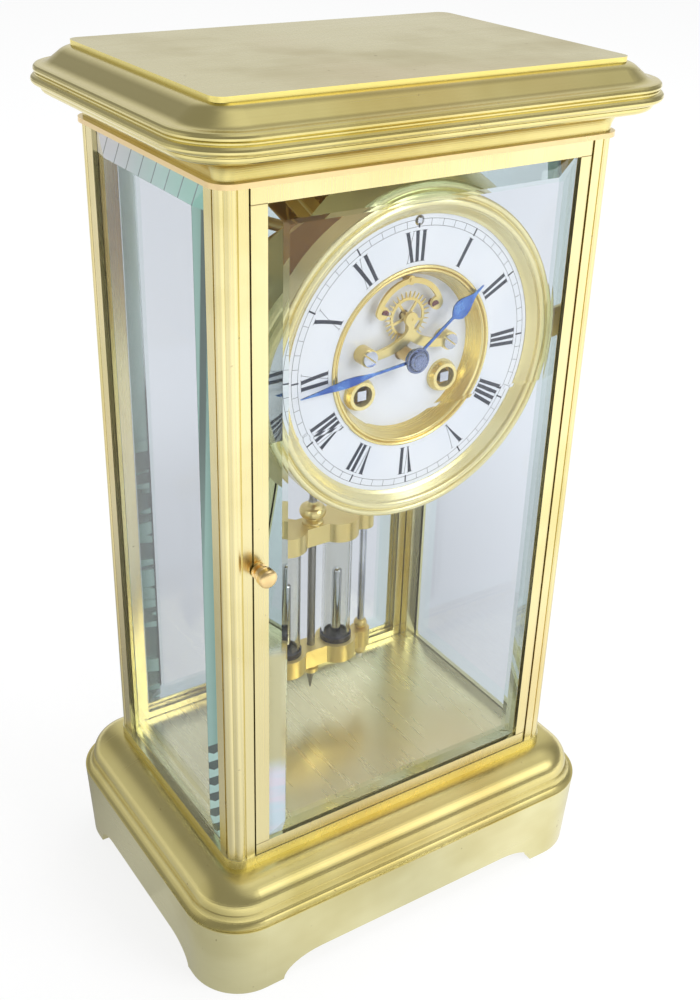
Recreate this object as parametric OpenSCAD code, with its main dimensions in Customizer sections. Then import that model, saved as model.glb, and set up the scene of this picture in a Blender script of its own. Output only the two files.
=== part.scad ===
// Four-glass mantel clock: a brass case with glazed sides, a front and a rear door, a round
// two-train movement, a dial with a visible escapement, and a pendulum with two jars.
// Millimetres, +Z up, the front faces -Y, origin in the middle of the plane under the feet.

/* [Case] */
// Half width of the rectangle that every moulding runs round
core_x = 75; // [74:0.5:84]
// Half depth of the rectangle that every moulding runs round
core_y = 48.2; // [48:0.2:56]
// Height of the top frame above the dial centre
above_dial = 71.9; // [68:0.1:90]
// Height of the plinth wall under the base moulding
plinth_h = 36; // [25:0.5:50]
// How far the top edge of the plinth stands out from the core rectangle
plinth_out = 24.3; // [22:0.1:28]
// Thickness of the plinth wall
plinth_wall = 5.8; // [4:0.1:8]
// How much the plinth draws in from its top edge to its feet
plinth_taper = 1.9; // [0:0.1:3]
// Height of the arches between the feet
arch_h = 10; // [5:0.5:15]
// Length of a foot from the corner of the core to the front arch
foot_x = 8.5; // [5:0.5:16]
// Length of a foot from the corner of the core to the side arch
foot_y = 4.2; // [2:0.1:10]
// Run of the curved end of the front arch
arch_curve = 18; // [10:0.5:24]
// Height of the base moulding
base_h = 17; // [14:0.5:23]
// Thickness of the floor plate
floor_t = 4.3; // [3.5:0.1:6]
// Height of the cornice
cornice_h = 15.3; // [13:0.1:20]
// How far the cornice bead stands out from the core rectangle
cornice_out = 22.3; // [21:0.1:26]
// Height of the cap moulding above the cornice
cap_h = 8.6; // [7:0.1:12]
// Thickness of the top frame and of the top slab
plate_edge = 1.8; // [1.6:0.1:3]

/* [Pillars and glass] */
// Width of a pillar across the front
pillar_w = 10; // [9.5:0.1:12]
// Depth of a pillar from front to back
pillar_d = 11.4; // [11:0.1:13]
// Radius of the two beads on the corner of a pillar
bead_r = 2.4; // [2:0.1:2.5]
// Outer skin of a pillar outside the side glass
glass_skin = 2.1; // [1.8:0.1:2.6]
// Thickness of the side glasses
side_glass_t = 4.2; // [3:0.1:5]
// Width of the bevel on a side glass
side_bevel_w = 9; // [4:0.5:12]
// Depth of the bevel on a side glass
side_bevel_d = 1.6; // [1:0.1:1.9]

/* [Doors] */
// Thickness of a door frame
door_t = 6.5; // [6:0.1:7]
// Width of the door stiles
stile_w = 6; // [5.6:0.1:7]
// Height of the door rails
rail_w = 5.3; // [4.5:0.1:7]
// Gap above and below a door
door_gap = 0.3; // [0.2:0.1:0.6]
// Thickness of the door glass
door_glass_t = 4.8; // [4.6:0.1:4.9]
// Width of the bevel on a door glass
bevel_w = 7.5; // [4:0.5:12]
// Depth of the bevel on the front of a door glass
bevel_d = 2.4; // [2:0.1:2.6]
// Depth of the bevel on the back of a door glass
back_bevel_d = 1.4; // [0.8:0.1:1.6]
// Radius of the door pivots
pivot_r = 1.1; // [0.8:0.1:1.3]
// Height of the knobs above the floor plate
knob_up = 134.2; // [100:0.1:180]
// Radius of the knob head
knob_r = 3.6; // [3:0.1:5]

/* [Dial] */
// Height of the dial centre above the floor plate
dial_up = 198.6; // [190:0.1:230]
// Outer radius of the bezel
bezel_r = 61.3; // [61:0.1:62.5]
// Outer radius of the chapter ring that shows
chapter_r = 52.3; // [51.9:0.1:53]
// Outer radius of the gilt ring round the sunk centre
gilt_r = 34.2; // [33.6:0.1:35]
// Radius of the sunk centre that shows
sunk_r = 29; // [28.9:0.1:30]
// Radius of the hole in a winding collet
wind_hole_r = 5; // [4:0.1:5.2]
// Length of the hour hand
hour_len = 37; // [35:0.5:42]
// Length of the minute hand
minute_len = 48.5; // [47:0.5:50]

/* [Movement] */
// Radius of the movement plates
plate_r = 44; // [43.5:0.5:46]
// Radius of the barrel drums
drum_r = 16.6; // [14:0.1:17]
// Height of the escape wheel above the dial centre
escape_up = 14; // [13.8:0.1:14.4]
// Tip radius of the escape wheel
escape_r = 9.5; // [9:0.1:9.6]
// Radius of the pallet jewels
jewel_r = 1.45; // [1:0.05:1.5]
// Radial clearance of every arbor in its hole
run_gap = 0.05; // [0.03:0.01:0.08]
// Radius of the bell
bell_r = 33; // [29:0.5:34]

/* [Pendulum] */
// Spacing of a jar from the pendulum rod
jar_x = 13.3; // [13:0.1:14]
// Outer radius of a jar
jar_r = 6.6; // [5.5:0.1:7]
// Length of the jars between the yokes
jar_len = 55; // [45:0.5:60]
// Thickness of the yokes
yoke_t = 9; // [7:0.1:11]
// Spacing of a side rod from the pendulum rod
side_rod_x = 27; // [26:0.1:30]
// Radius of the ball nuts on the side rods
ball_r = 3.1; // [2.6:0.1:3.4]
// Radius of the rating nut
rating_r = 3.7; // [3:0.1:4.5]

/* [Hidden] */

$fn = 48;

brass = [0.83, 0.72, 0.44];
pale_brass = [0.88, 0.80, 0.56];
copper = [0.80, 0.56, 0.36];
gilt = [0.88, 0.74, 0.36];
steel = [0.72, 0.73, 0.74];
dark_steel = [0.30, 0.30, 0.31];
blue = [0.20, 0.30, 0.52];
clear = [0.80, 0.88, 0.88, 0.35];
enamel = [0.93, 0.95, 0.97];
ruby = [0.40, 0.10, 0.10];

// Heights of the case
floor_z = plinth_h + base_h;
glazed_z = floor_z + floor_t;
glazed_h = dial_up + above_dial;
frame_z = glazed_z + glazed_h;
cornice_z = frame_z + plate_edge;
cap_z = cornice_z + cornice_h;
slab_z = cap_z + cap_h;
floor_out = 6.3;
frame_out = 7.1;
slab_out = 7;
base_cove = 3.7;
cap_cove_r = 5.5;
shoulder_r = 8;

// Pillars: outer faces, inner faces, the corner beads and the groove for the side glass
pillar_x = core_x + 5.35;
pillar_y = core_y + 5.7;
pillar_in_x = pillar_x - pillar_w;
pillar_in_y = pillar_y - pillar_d;
bead_set = 3.7;
bead_key = 5.8;
strip_set = 0.25;
quirk = 0.6;
groove_depth = 2.6;
seat_gap = 0.1;

// Doors
door_x = pillar_in_x - 0.35;
door_y = pillar_y + 0.35;
door_z = glazed_z + door_gap;
door_h = glazed_h - 2 * door_gap;
pivot_in = 2;
pivot_x = door_x - pivot_in;
pivot_y = door_y - pivot_in;
lip_t = 1.9;
lap = 2.1;
pivot_end = 0.2;
pivot_hole = 2;

// Knobs: each turns a catch behind the door stile
knob_x = door_x - 1.9;
knob_z = glazed_z + knob_up;
spindle_r = 1.2;
catch_len = 6.4;
catch_w = 3.6;
catch_t = 1.5;
catch_gap = 0.2;
knob_len = 8;

// Planes of the dial and the hands, from the middle plane of the case
dial_z = glazed_z + dial_up;
dial_front_y = -(core_y - 4);
enamel_t = 1.2;
pan_y = dial_front_y + enamel_t;
pan_t = 1.5;
sunk_y = dial_front_y + 6.6;
sunk_t = 1;
bezel_back_y = dial_front_y + 4.2;
hour_hand_y = dial_front_y - 1.7;
minute_hand_y = hour_hand_y - 1;
hand_t = 0.5;
collet_y = minute_hand_y - 2.1;
cock_y = sunk_y - 5.2;
cock_t = 1.5;
escape_y = sunk_y - 2.5;
anchor_y = sunk_y - 4;
anchor_t = 1.1;
shown_min = 44;

// Planes of the movement
front_plate_y = -31;
back_plate_y = 1;
plate_t = 2;
train_front_y = front_plate_y + plate_t;
foot_at = 26;
wind_p = 18.4;
wind_drop = 12.7;
wind_r = 2.2;
square_w = 3.7;
pivot_arbor_r = 0.5;
arbor_end = 0.2;

// Arbor places as [sideways, up] from the dial centre
centre_p = [0, 0];
going_p = [wind_p, -wind_drop];
strike_p = [-wind_p, -wind_drop];
escape_p = [0, escape_up];
anchor_p = [0, escape_up + 14.1];
rate_p = [0, chapter_r - 2.1];
hammer_p = [-36.5, 4];

// Tooth counts and modules of the meshing pairs
great_n = 72;
great_pinion_n = 12;
great_m = 0.511;
second_n = 60;
centre_pinion_n = 8;
second_m = 0.352;
centre_n = 72;
third_pinion_n = 6;
centre_m = 0.28;
third_n = 72;
escape_pinion_n = 6;
third_m = 0.25;
cannon_n = 14;
minute_wheel_n = 42;
cannon_m = 0.3;
minute_pinion_n = 12;
hour_n = 48;
pin_n = 60;
warn_pinion_n = 6;
pin_m = 0.36;
warn_n = 54;
fly_pinion_n = 6;
warn_m = 0.25;
escape_n = 30;
mesh_gap = 0.06;

function pitch_r(n, m) = n * m / 2;
function mesh(a, b, m) = pitch_r(a + b, m) + mesh_gap;
function polar(r, a) = [r * cos(a), r * sin(a)];
function heading(a, b) = atan2(b[1] - a[1], b[0] - a[0]);
function gap_facing(from, to, n) = heading(from, to) + 180 / n;

// The point at distance ra from a and rb from b, to the left of the line from a to b for side 1
function meet(a, ra, b, rb, side) =
    let (d = norm(b - a), u = (b - a) / d, k = (ra * ra - rb * rb + d * d) / (2 * d))
    a + k * u + side * sqrt(ra * ra - k * k) * [-u[1], u[0]];

// Points on an elliptical bow round c, from angle a0 to a1, as [distance out or radius, height]
function bow(c, rx, rz, a0, a1, steps = 6) =
    [for (i = [0 : steps]) let (t = a0 + (a1 - a0) * i / steps) c + [rx * cos(t), rz * sin(t)]];

second_p = meet(going_p, mesh(great_n, great_pinion_n, great_m), centre_p,
    mesh(second_n, centre_pinion_n, second_m), -1);
third_p = meet(centre_p, mesh(centre_n, third_pinion_n, centre_m), escape_p,
    mesh(third_n, escape_pinion_n, third_m), 1);
pin_p = strike_p + polar(mesh(great_n, great_pinion_n, great_m), 100);
warn_p = pin_p + polar(mesh(pin_n, warn_pinion_n, pin_m), 55);
fly_p = warn_p + polar(mesh(warn_n, fly_pinion_n, warn_m), 120);
motion_r = mesh(cannon_n, minute_wheel_n, cannon_m);
hour_m = 2 * (motion_r - mesh_gap) / (minute_pinion_n + hour_n);
motion_p = [0, -motion_r];

// Radii of the nested centre pieces
centre_arbor_r = 0.9;
cannon_r = 1.65;
hour_pipe_r = 2.55;

// Pendulum heights and planes
flex_z = dial_z + anchor_p[1];
pend_y = 21;
low_yoke_z = glazed_z + 25.7;
jar_foot_z = low_yoke_z + yoke_t;
top_yoke_z = jar_foot_z + jar_len;
finial_z = top_yoke_z + yoke_t;
finial_h = 11.3;
rod_r = 1.8;
upper_rod_r = 1.5;
side_rod_r = 1.65;
yoke_gap = 0.03;
rod_seat = 4;
cup_t = 0.6;
cup_h = 2.5;
cup_foot = 1;
jar_wall = 1;
column_r = 2.2;
column_h = 36;
rating_h = 5.6;
tip_drop = 15;
chop_top_z = flex_z - 6.5;
strip_t = 0.3;
strip_w = 4;
cock_arm_z = flex_z + 4;
cock_arm_h = 6;
slot_gap = 0.4;
susp_y = back_plate_y + plate_t + 9;
susp_t = 2;
crutch_y = back_plate_y + plate_t + 5.5;
crutch_t = 1.6;
crutch_drop = 40;
fork_r = 0.7;
fork_gap = 0.15;
bell_y = pend_y + 6;
bell_depth = 17;
bell_wall = 1.5;
bell_bar_y = bell_y - 2.7;

eps = 0.01;

// Side glass: its outer face, its inner face and the groove's outer wall
side_lap = groove_depth - seat_gap;
side_foot_lap = 0.5;
groove_x = pillar_x - glass_skin;
side_out_x = groove_x + side_bevel_d - seat_gap;
side_in_x = side_out_x - side_glass_t;

// Door glass: its front face, and the middle plane of the catches
glass_front_y = door_y - lip_t + bevel_d - seat_gap;
catch_mid_y = door_y - door_t - catch_gap - catch_t / 2;
catch_mid_y_front = -catch_mid_y;

// Arbors, planes and places of the movement's pieces
escape_arbor_r = 0.6;
anchor_arbor_r = 0.8;
fine_arbor_r = 0.6;
rate_arbor_r = 0.9;
stud_r = 0.8;
great_y = -27;
great_t = 1.5;
drum_back_y = -8;
second_y = -5.8;
second_t = 1;
centre_y = -28.5;
centre_t = 0.9;
third_y = -3.6;
third_t = 0.8;
fly_front_y = -23.5;
fly_back_y = -12;
stud_len = 4.2;
plate_post_r = 3;
plate_post_waist_r = 2.3;
plate_post_foot = 5;
plate_posts = [[35.5, 16], [-35.5, 16], [0, -37.5], [0, 38.5]];
susp_half_w = 12;
susp_h = 18;
susp_drop = 5;
wind_end_y = sunk_y - 2.4;
cannon_y = -32.9;
pin_wheel_y = -27.2;
warn_y = -10;
hammer_y = 5;
hammer_t = 1.6;
hammer_head = polar(bell_r + 5.2, 135);
stand_foot = [-22, -30];

// Escapement
jewel_at = 11.45;
key_hole_r = 0.8 * wind_hole_r;
anchor_in = 12.9;
anchor_out = 14.9;
anchor_boss_r = 1.7;
cock_foot = [17.6, 2.6];
cock_post_r = 3.4;
neck_up = 9;
leg_w = 2.4;
fork_x = upper_rod_r + fork_gap + fork_r;

// A closed moulding round the core; the profile's points are [distance out, height]
module run_moulding(profile) {
    for (k = [0 : 3]) {
        sx = (k == 0 || k == 3) ? 1 : -1;
        sy = k < 2 ? 1 : -1;
        translate([sx * core_x, sy * core_y, 0]) rotate([0, 0, 90 * k])
            rotate_extrude(angle = 90) polygon(profile);
    }
    for (k = [0, 1]) rotate([0, 0, 180 * k]) {
        translate([core_x, core_y, 0]) rotate([90, 0, 0])
            linear_extrude(height = 2 * core_y) polygon(profile);
        translate([-core_x, core_y, 0]) rotate([90, 0, 90])
            linear_extrude(height = 2 * core_x) polygon(profile);
    }
}

// A flat plate with round corners whose edge stands out from the core
module core_plate(z, t, out, r) {
    translate([0, 0, z]) linear_extrude(height = t) {
        square([2 * (core_x + out - r), 2 * (core_y + out)], center = true);
        square([2 * (core_x + out), 2 * (core_y + out - r)], center = true);
        for (sx = [-1, 1], sy = [-1, 1])
            translate([sx * (core_x + out - r), sy * (core_y + out - r)]) circle(r);
    }
}

// Sweeps a drawing, seen from the front with the dial centre as zero, between two planes
module from_front(y0, y1, at = [0, 0]) {
    translate([at[0], y1, dial_z + at[1]]) rotate([90, 0, 0])
        linear_extrude(height = y1 - y0) children();
}

module rod_y(y0, y1, r, at = [0, 0]) {
    from_front(y0, y1, at) circle(r);
}

// A turned piece on an axis along Y; the profile's points are [radius, y]
module turned(profile, at = [0, 0]) {
    translate([at[0], 0, dial_z + at[1]]) rotate([-90, 0, 0]) rotate_extrude() polygon(profile);
}

module ring2d(outer, inner) {
    difference() {
        circle(outer);
        circle(inner);
    }
}

// Toothed outline with straight flanks, one tooth centred on the given angle
module teeth(n, m, phase, addendum = 0.9, dedendum = 1.35, root_share = 0.25, tip_share = 0.09) {
    step = 360 / n;
    rp = pitch_r(n, m);
    ro = rp + addendum * m;
    ri = rp - dedendum * m;
    polygon([for (i = [0 : n - 1]) for (k = [0 : 3])
        polar(k == 1 || k == 2 ? ro : ri,
            phase + step * (i + (k < 2 ? -1 : 1) * (k == 1 || k == 2 ? tip_share : root_share)))]);
}

module pinion(n, m, phase) {
    teeth(n, m, phase, 0.75, 1.2, 0.16, 0.1);
}

// A crossed-out wheel: teeth, rim, spokes and hub
module crossed(n, m, phase, hub_r, rim_w, spokes = 5, spoke_w = 1) {
    rim_r = pitch_r(n, m) - 1.35 * m - rim_w;
    difference() {
        teeth(n, m, phase);
        difference() {
            circle(rim_r);
            circle(hub_r);
            for (i = [0 : spokes - 1]) rotate(phase + 360 * i / spokes)
                translate([0, -spoke_w / 2]) square([rim_r + 1, spoke_w]);
        }
    }
}

// An arbor between the plates with thin pivots in them
module arbor(at, r) {
    rod_y(train_front_y + arbor_end, back_plate_y - arbor_end, r, at);
    rod_y(front_plate_y + arbor_end, back_plate_y + plate_t - arbor_end, pivot_arbor_r, at);
}

// Half the arch between two feet, as points from the middle to the foot
function arch_end(half, run) =
    [for (i = [8 : -1 : 0]) [half - run * (1 - cos(90 * i / 8)), arch_h * sin(90 * i / 8)]];

module arch(half, run) {
    right = arch_end(half, run);
    polygon(concat([[0, arch_h]], right, [[half, -1], [-half, -1]],
        [for (i = [len(right) - 1 : -1 : 0]) [-right[i][0], right[i][1]]]));
}

module plinth() color(brass) difference() {
    run_moulding([[plinth_out - plinth_wall, 0], [plinth_out - plinth_taper, 0],
        [plinth_out, plinth_h], [plinth_out - plinth_wall, plinth_h]]);
    reach = 2 * (core_x + plinth_out);
    translate([0, reach / 2, 0]) rotate([90, 0, 0]) linear_extrude(height = reach)
        arch(core_x - foot_x, arch_curve);
    translate([-reach / 2, 0, 0]) rotate([90, 0, 90]) linear_extrude(height = reach)
        arch(core_y - foot_y, 0.8 * arch_curve);
}

// Base moulding: a cove over the edge of the plinth, a small ridge and a large ovolo
module base_moulding() color(brass) {
    ridge = plinth_out - base_cove;
    ridge_z = plinth_h + 0.3 * base_h;
    run_moulding(concat([[0, plinth_h], [plinth_out, plinth_h]],
        bow([plinth_out, ridge_z], base_cove, ridge_z - plinth_h - 0.5, -90, -180, 10),
        [[ridge, ridge_z + 0.4], [ridge - 0.4, ridge_z + 0.7]],
        bow([floor_out, ridge_z + 0.7], ridge - 0.4 - floor_out, floor_z - ridge_z - 0.7, 0, 90, 22),
        [[0, floor_z]]));
}

module door_pivots() {
    for (k = [0, 1]) rotate([0, 0, 180 * k]) translate([pivot_x, -pivot_y, 0]) children();
}

module floor_plate() color(copper) difference() {
    core_plate(floor_z, floor_t, floor_out, 6.8);
    door_pivots() translate([0, 0, glazed_z - pivot_hole])
        cylinder(h = pivot_hole + 1, r = pivot_r + run_gap);
}

module top_frame() color(copper) difference() {
    core_plate(frame_z, plate_edge, frame_out, 7.5);
    door_pivots() translate([0, 0, frame_z - 1])
        cylinder(h = plate_edge + 2, r = pivot_r + run_gap);
}

// Cornice: a cavetto, a soffit, a small bead and a large bead
module cornice() color(pale_brass) {
    foot = frame_out - 1.9;
    soffit_z = cornice_z + cornice_h / 2;
    run_moulding(concat([[0, cornice_z], [foot, cornice_z]],
        bow([cornice_out - 9.8, cornice_z + 0.8], foot - cornice_out + 9.8, soffit_z - cornice_z - 0.8,
            0, 90, 14),
        [[cornice_out - 9.8, soffit_z + 0.4]],
        bow([cornice_out - 6.3, soffit_z + 2.9], 3.2, 2.5, -90, 0, 5),
        [[cornice_out - 3.5, soffit_z + 2.9], [cornice_out - 3.5, soffit_z + 3.4]],
        bow([cornice_out - 3, cap_z - 2.2], 3, 2, -80, 60, 7),
        [[cornice_out - 1.5, cap_z], [0, cap_z]]));
}

// Cap: a bead, a cove and a broad shoulder up to the slab
module cap_moulding() color(brass) {
    run_moulding(concat([[0, cap_z], [cornice_out - 1.6, cap_z]],
        bow([cornice_out - 2.6, cap_z + 1.4], 1.5, 1.4, -60, 90, 5),
        bow([cornice_out - 3.4, cap_z + 2.9 + cap_cove_r], cap_cove_r, cap_cove_r, -93, -131, 8),
        bow([slab_out, slab_z - shoulder_r], shoulder_r, shoulder_r, 49, 90, 12),
        [[0, slab_z]]));
}

module top_slab() color(brass) core_plate(slab_z, plate_edge, slab_out, 4.6);

// Section of the front right pillar, seen from above with the front turned to +Y
module pillar_section() {
    key_x = pillar_x - bead_key;
    key_y = pillar_y - bead_key;
    difference() {
        union() {
            translate([pillar_in_x, pillar_in_y])
                square([key_x + 0.3 - pillar_in_x, pillar_y - strip_set - pillar_in_y]);
            translate([pillar_in_x, pillar_in_y])
                square([pillar_x - strip_set - pillar_in_x, key_y + 0.1 - pillar_in_y]);
            for (a = [22.5, 67.5]) translate([key_x, key_y] + polar(bead_set, a)) circle(bead_r);
        }
        translate([key_x - quirk + 0.1, pillar_y - strip_set - quirk]) square([quirk, 2]);
        translate([pillar_x - strip_set - quirk, key_y - quirk + 0.1]) square([2, quirk]);
        translate([side_in_x, pillar_in_y - 1]) square([groove_x - side_in_x, groove_depth + 1]);
    }
}

// The two pillars that a catch turns into have a slot for it
module corner_pillars() color(pale_brass) {
    slot = catch_len + 0.6;
    for (sx = [-1, 1], sy = [-1, 1]) difference() {
        translate([0, 0, glazed_z]) scale([sx, sy, 1]) linear_extrude(height = glazed_h)
            pillar_section();
        if (sx == sy) translate([sx * (pillar_in_x + knob_x + slot) / 2, sy * catch_mid_y, knob_z])
            cube([knob_x + slot - pillar_in_x + eps, catch_t + 2 * catch_gap, 2 * slot], center = true);
    }
}

// What a bevel takes off the edge of a pane, as [distance out from the edge, depth]
function bevel_cut(bevel, margin, d) =
    [[-bevel - margin, 0], [-margin, d], [1, d], [1, -1], [-bevel - margin, -1]];

// Bevels along all four edges of one face, deeper towards +Y for side 1 and -Y for side -1
module bevel_edges(w, h, bevel, margin, d, side) for (s = [-1, 1]) {
    translate([0, 0, -1]) linear_extrude(height = h + 2)
        polygon([for (p = bevel_cut(bevel, margin[0], d)) [s * (w / 2 + p[0]), side * p[1]]]);
    translate([-w / 2 - 1, 0, h / 2]) rotate([90, 0, 90]) linear_extrude(height = w + 2)
        polygon([for (p = bevel_cut(bevel, margin[1], d)) [side * p[1], s * (h / 2 + p[0])]]);
}

// A pane with its front at y 0, a bevel on its front and a flat margin outside the bevel
module bevelled_pane(w, h, t, bevel, margin, front_d) difference() {
    translate([-w / 2, 0, 0]) cube([w, t, h]);
    bevel_edges(w, h, bevel, margin, front_d, 1);
}

module side_glasses() color(clear) for (s = [-1, 1])
    translate([s * side_out_x, 0, glazed_z]) rotate([0, 0, s * 90])
        bevelled_pane(2 * (pillar_in_y + side_lap), glazed_h, side_glass_t, side_bevel_w,
            [side_lap, side_foot_lap], side_bevel_d);

// A door frame hung on its right pivots, with a rebate for the glass and a hole for the knob
module door_frame() {
    opening_h = door_h - 2 * rail_w;
    difference() {
        union() {
            translate([-door_x, -door_y, door_z]) cube([door_x + pivot_x, door_t, door_h]);
            translate([pivot_x - eps, -pivot_y, door_z])
                cube([pivot_in + eps, door_t - pivot_in, door_h]);
            translate([pivot_x, -pivot_y, door_z]) cylinder(h = door_h, r = pivot_in);
            translate([pivot_x, -pivot_y, glazed_z - pivot_hole + pivot_end])
                cylinder(h = glazed_h + pivot_hole + plate_edge - 2 * pivot_end, r = pivot_r);
        }
        translate([stile_w - door_x, -door_y - 1, door_z + rail_w])
            cube([2 * (door_x - stile_w), door_t + 2, opening_h]);
        translate([stile_w - lap - door_x, lip_t - door_y, door_z + rail_w - lap])
            cube([2 * (door_x - stile_w + lap), door_t, opening_h + 2 * lap]);
        translate([-knob_x, -door_y - 1, knob_z]) rotate([-90, 0, 0])
            cylinder(h = door_t + 2, r = spindle_r + run_gap);
    }
}

// The door glass is bevelled on its back too
module door_glass() {
    pane_w = 2 * (door_x - stile_w + lap - seat_gap);
    pane_h = door_h - 2 * rail_w + 2 * lap - seat_gap;
    translate([0, -glass_front_y, door_z + rail_w - lap]) difference() {
        bevelled_pane(pane_w, pane_h, door_glass_t, bevel_w, [lap, lap], bevel_d);
        translate([0, door_glass_t, 0])
            bevel_edges(pane_w, pane_h, bevel_w, [lap, lap], back_bevel_d, -1);
    }
}

// Turned knob with its spindle through the stile and a catch behind it, pointing up when free
module knob() {
    face = -door_y - seat_gap;
    neck = 0.55 * knob_r;
    translate([-knob_x, 0, knob_z - dial_z]) {
        turned(concat(
            [[0, face], [0.85 * knob_r, face], [0.85 * knob_r, face - 0.6], [neck, face - 1],
                [neck, face - 2]],
            bow([0.7 * knob_r, face - 2.6], 0.6, 0.6, 60, -60, 4),
            [[0.7 * knob_r, face - 3.3]],
            bow([0.8 * knob_r, face - 3.8], 0.6, 0.5, 60, -60, 4),
            [[0.8 * knob_r, face - 4.5]],
            [[knob_r, face - 4.9]],
            bow([0, face - 6.6], knob_r, 6.6 - knob_len, 0, 90, 8)));
        rod_y(face - 1, catch_mid_y_front + catch_t / 2, spindle_r);
        from_front(catch_mid_y_front - catch_t / 2, catch_mid_y_front + catch_t / 2)
            translate([-catch_w / 2, -catch_w / 2]) square([catch_w, catch_len + catch_w / 2]);
    }
}

module front_door_frame() color(brass) door_frame();
module front_door_glass() color(clear) door_glass();
module rear_door_frame() color(brass) rotate([0, 0, 180]) door_frame();
module rear_door_glass() color(clear) rotate([0, 0, 180]) door_glass();
module front_knob() color(copper) knob();
module rear_knob() color(copper) rotate([0, 0, 180]) knob();

// Bezel with its pan, which carries the chapter ring, and four dial feet
module bezel() color(gilt) {
    crest = dial_front_y - 4.5;
    rim = bezel_r - 2.5;
    difference() {
        union() {
            turned(concat(
                [[gilt_r, pan_y + pan_t], [gilt_r, pan_y], [chapter_r + 0.6, pan_y],
                    [chapter_r + 0.6, dial_front_y], [chapter_r, dial_front_y],
                    [chapter_r, dial_front_y - 0.4], [chapter_r + 1.2, dial_front_y - 1.1],
                    [rim - 3.3, dial_front_y - 3]],
                bow([rim - 1.7, crest + 1.2], 1.4, 1.2, 190, 350, 7),
                [[rim - 0.1, crest + 1.3], [rim + 0.1, crest + 1.3]],
                bow([rim + 1.3, crest + 1.5], 1.2, 1.2, 190, 340, 6),
                [[bezel_r, crest + 2.2], [bezel_r, bezel_back_y], [bezel_r - 3.5, bezel_back_y],
                    [bezel_r - 3.5, pan_y + pan_t]]));
            for (sx = [-1, 1], sz = [-1, 1])
                rod_y(pan_y + pan_t - eps, front_plate_y, 2, [sx * foot_at, sz * foot_at]);
        }
        rod_y(pan_y - 1, pan_y + pan_t + 1, 1.9, rate_p);
    }
}

module chapter_ring() color(enamel) difference() {
    from_front(dial_front_y, pan_y) ring2d(chapter_r + 0.5, gilt_r + run_gap);
    rod_y(dial_front_y - 1, pan_y + 1, 1.9, rate_p);
}

// Gilt ring: two beads and a cone down to the sunk centre
module gilt_ring() color(gilt) turned(concat(
    [[sunk_r + 1.2, sunk_y], [sunk_r, sunk_y], [gilt_r - 2.6, dial_front_y + 0.3]],
    bow([gilt_r - 1.9, dial_front_y + 0.2], 0.5, 0.4, 190, 350, 4),
    [[gilt_r - 1.3, dial_front_y + 0.3]],
    bow([gilt_r - 0.6, dial_front_y - 0.2], 0.6, 0.6, 180, 360, 5),
    [[gilt_r, pan_y + pan_t], [gilt_r - 1, pan_y + pan_t]]));

module sunk_centre() color(enamel) difference() {
    rod_y(sunk_y, sunk_y + sunk_t, sunk_r + 1.2);
    rod_y(sunk_y - 1, sunk_y + sunk_t + 1, hour_pipe_r + 0.5);
    rod_y(sunk_y - 1, sunk_y + sunk_t + 1, 2, escape_p);
    rod_y(sunk_y - 1, sunk_y + sunk_t + 1, 1.3, anchor_p);
    for (p = [going_p, strike_p]) rod_y(sunk_y - 1, sunk_y + sunk_t + 1, wind_hole_r, p);
}

module winding_collets() color(gilt) for (p = [going_p, strike_p])
    turned([[key_hole_r, sunk_y], [wind_hole_r + 1.3, sunk_y], [wind_hole_r + 1.1, sunk_y - 1.2],
        [wind_hole_r + 0.3, sunk_y - 3], [key_hole_r, sunk_y - 3]], p);

// Lugs that carry the bezel from the front pillars
module dial_brackets() color(copper) for (s = [-1, 1]) scale([s, 1, 1]) {
    translate([bezel_r - 9, bezel_back_y, dial_z - 6])
        cube([pillar_in_x - bezel_r + 9, 2.5, 12]);
    translate([pillar_in_x - 2.5, -door_y + door_t + 1.1, dial_z - 6])
        cube([2.5, door_y - door_t - 1.1 + bezel_back_y + eps, 12]);
}

// Holes of the train in either plate
module train_holes(y0) {
    for (p = [second_p, third_p, pin_p, warn_p, fly_p])
        rod_y(y0 - 1, y0 + plate_t + 1, pivot_arbor_r + run_gap, p);
    for (p = [going_p, strike_p]) rod_y(y0 - 1, y0 + plate_t + 1, wind_r + run_gap, p);
    rod_y(y0 - 1, y0 + plate_t + 1, centre_arbor_r + run_gap);
    rod_y(y0 - 1, y0 + plate_t + 1, escape_arbor_r + run_gap, escape_p);
    rod_y(y0 - 1, y0 + plate_t + 1, anchor_arbor_r + run_gap, anchor_p);
    rod_y(y0 - 1, y0 + plate_t + 1, anchor_arbor_r + run_gap, hammer_p);
}

// Front plate with the stud of the minute wheel
module front_plate() color(brass) {
    difference() {
        rod_y(front_plate_y, train_front_y, plate_r);
        train_holes(front_plate_y);
    }
    rod_y(front_plate_y - stud_len, front_plate_y + eps, stud_r, motion_p);
}

module back_plate() color(brass) difference() {
    rod_y(back_plate_y, back_plate_y + plate_t, plate_r);
    train_holes(back_plate_y);
}

module plate_pillars() color(brass)
    for (p = plate_posts) turned([[0, train_front_y],
        [plate_post_r, train_front_y], [plate_post_r, train_front_y + 0.6 * plate_post_foot],
        [plate_post_waist_r, train_front_y + plate_post_foot],
        [plate_post_waist_r, back_plate_y - plate_post_foot],
        [plate_post_r, back_plate_y - 0.6 * plate_post_foot], [plate_post_r, back_plate_y],
        [0, back_plate_y]], p);

// Going train: barrel and great wheel, then second, centre, third and escape wheels
module barrel(p, pinion_p, wheel_y0, drum_y0, drum_y1) difference() {
    union() {
        from_front(wheel_y0, wheel_y0 + great_t, p) teeth(great_n, great_m, heading(p, pinion_p));
        rod_y(drum_y0, drum_y1, drum_r, p);
    }
    rod_y(wheel_y0 - 20, drum_y1 + 20, wind_r + run_gap, p);
}

module going_barrel() color(brass)
    barrel(going_p, second_p, great_y, great_y + great_t, drum_back_y);
module strike_barrel() color(brass)
    barrel(strike_p, pin_p, drum_back_y, great_y + great_t, drum_back_y + eps);

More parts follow.
